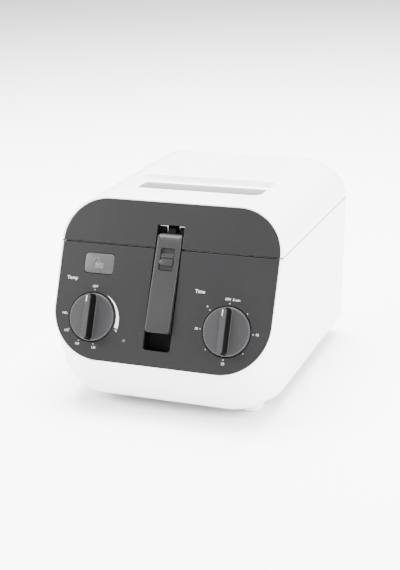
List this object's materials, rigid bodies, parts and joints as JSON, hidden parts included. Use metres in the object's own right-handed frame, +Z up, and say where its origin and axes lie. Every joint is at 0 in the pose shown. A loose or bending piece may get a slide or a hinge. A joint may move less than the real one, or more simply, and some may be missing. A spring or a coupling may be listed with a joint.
{
  "type": "deep fryer",
  "caption": "Household deep fryer with a sloping control fascia, rear-hinged lid with window and filter cover, and an outside folding handle that raises the basket.",
  "frame": {"origin": "bottom centre of the whole fryer, on the surface that it stands on", "axes": "+Z up, +Y towards the rear, so the control fascia faces -Y; +X to the right as seen from the front"},
  "size_m": [0.265, 0.3378, 0.2334],
  "materials": {
    "casing_white": "gloss",
    "fascia_anthracite": "satin",
    "handle_grey": "satin",
    "button_grey": "satin",
    "well_black": "matt",
    "frame_grey": "matt",
    "switch_black": "matt",
    "lens_clear": "gloss",
    "bowl_coating": "non-stick",
    "aluminium_sheet": "satin",
    "steel_parts": "zinc plated",
    "basket_wire": "bright",
    "seal_rubber": "matt",
    "window": "gloss",
    "filter_pad": "felt",
    "carbon_pad": "foam",
    "terminal_white": "matt"
  },
  "bodies": {
    "base": {"outer_casing": "casing_white", "base_plate": "frame_grey", "base_screws": "steel_parts", "feet": "casing_white", "control_fascia": "fascia_anthracite", "fascia_screws": "steel_parts", "handle_well": "well_black", "pivot_ears": "well_black", "handle_pin": "steel_parts", "lever_bracket": "steel_parts", "lever_pin": "steel_parts", "bowl_surround": "frame_grey", "oil_bowl": "bowl_coating", "heat_shield": "aluminium_sheet", "heating_element": "steel_parts", "thermostat_body": "switch_black", "thermostat_bracket": "steel_parts", "thermostat_bulb": "steel_parts", "timer_body": "switch_black", "timer_bracket": "steel_parts", "timer_bell": "steel_parts", "pilot_lamp": "switch_black", "pilot_lamp_lens": "lens_clear", "thermal_cutout": "switch_black", "terminal_block": "terminal_white", "cord_gland": "switch_black", "latch_bracket": "steel_parts", "release_spring": "steel_parts", "hinge_brackets": "casing_white", "hinge_pins": "steel_parts"},
    "release": {"release_button": "button_grey", "latch_catch": "frame_grey"},
    "temperature": {"temperature_knob": "handle_grey", "temperature_shaft": "steel_parts"},
    "timer": {"timer_knob": "handle_grey", "timer_shaft": "steel_parts"},
    "handle": {"handle_grip": "handle_grey", "handle_back": "well_black", "handle_sector": "well_black"},
    "lever": {"lift_lever": "steel_parts", "lift_pin": "steel_parts"},
    "slider": {"handle_slider": "handle_grey"},
    "basket": {"basket_mesh": "basket_wire", "basket_rim": "basket_wire", "basket_saddle": "basket_wire"},
    "lid": {"lid_shell": "casing_white", "lid_fascia": "fascia_anthracite", "lid_liner": "aluminium_sheet", "lid_screws": "steel_parts", "lid_seal": "seal_rubber", "window_glass": "window", "window_seal": "seal_rubber", "latch_hook": "frame_grey", "grease_filter": "filter_pad", "carbon_filter": "carbon_pad"},
    "cover": {"filter_cover": "casing_white"}
  },
  "joints": [
    {"name": "lid_hinge", "type": "hinge", "parent": "base", "child": "lid", "pos_m": [0, 0.16492, 0.186], "axis": [-1, 0, 0], "range_deg": [0, 82]},
    {"name": "cover_lift_off", "type": "slide", "parent": "lid", "child": "cover", "axis": [0, 0, 1], "range_m": [0, 0.03]},
    {"name": "handle_fold", "type": "hinge", "parent": "base", "child": "handle", "pos_m": [0, -0.09767, 0.19115], "axis": [-1, 0, 0], "range_deg": [0, 65.7]},
    {"name": "lift_lever_turn", "type": "hinge", "parent": "base", "child": "lever", "pos_m": [0, -0.07864, 0.18227], "axis": [1, 0, 0], "range_deg": [0, 87.7]},
    {"name": "basket_lift", "type": "slide", "parent": "base", "child": "basket", "axis": [0, 0, 1], "range_m": [0, 0.043]},
    {"name": "handle_lock", "type": "slide", "parent": "handle", "child": "slider", "axis": [0, 0.4115, 0.9114], "range_m": [0, 0.006], "stiffness_N_per_m": 150, "springref_m": -0.001},
    {"name": "lid_release", "type": "slide", "parent": "base", "child": "release", "axis": [0, 0.9114, -0.4115], "range_m": [0, 0.003], "stiffness_N_per_m": 600, "springref_m": -0.0005},
    {"name": "temperature_turn", "type": "hinge", "parent": "base", "child": "temperature", "pos_m": [-0.0824, -0.14319, 0.10735], "axis": [0, 0.9114, -0.4115], "range_deg": [0, 272]},
    {"name": "timer_turn", "type": "hinge", "parent": "base", "child": "timer", "pos_m": [0.079, -0.14319, 0.10735], "axis": [0, 0.9114, -0.4115], "range_deg": [0, 315]}
  ],
  "couplings": [
    {"joint": "lift_lever_turn", "follows": "handle_fold", "ratio": 1.3333},
    {"joint": "basket_lift", "follows": "handle_fold", "m_per_rad": 0.037424}
  ]
}
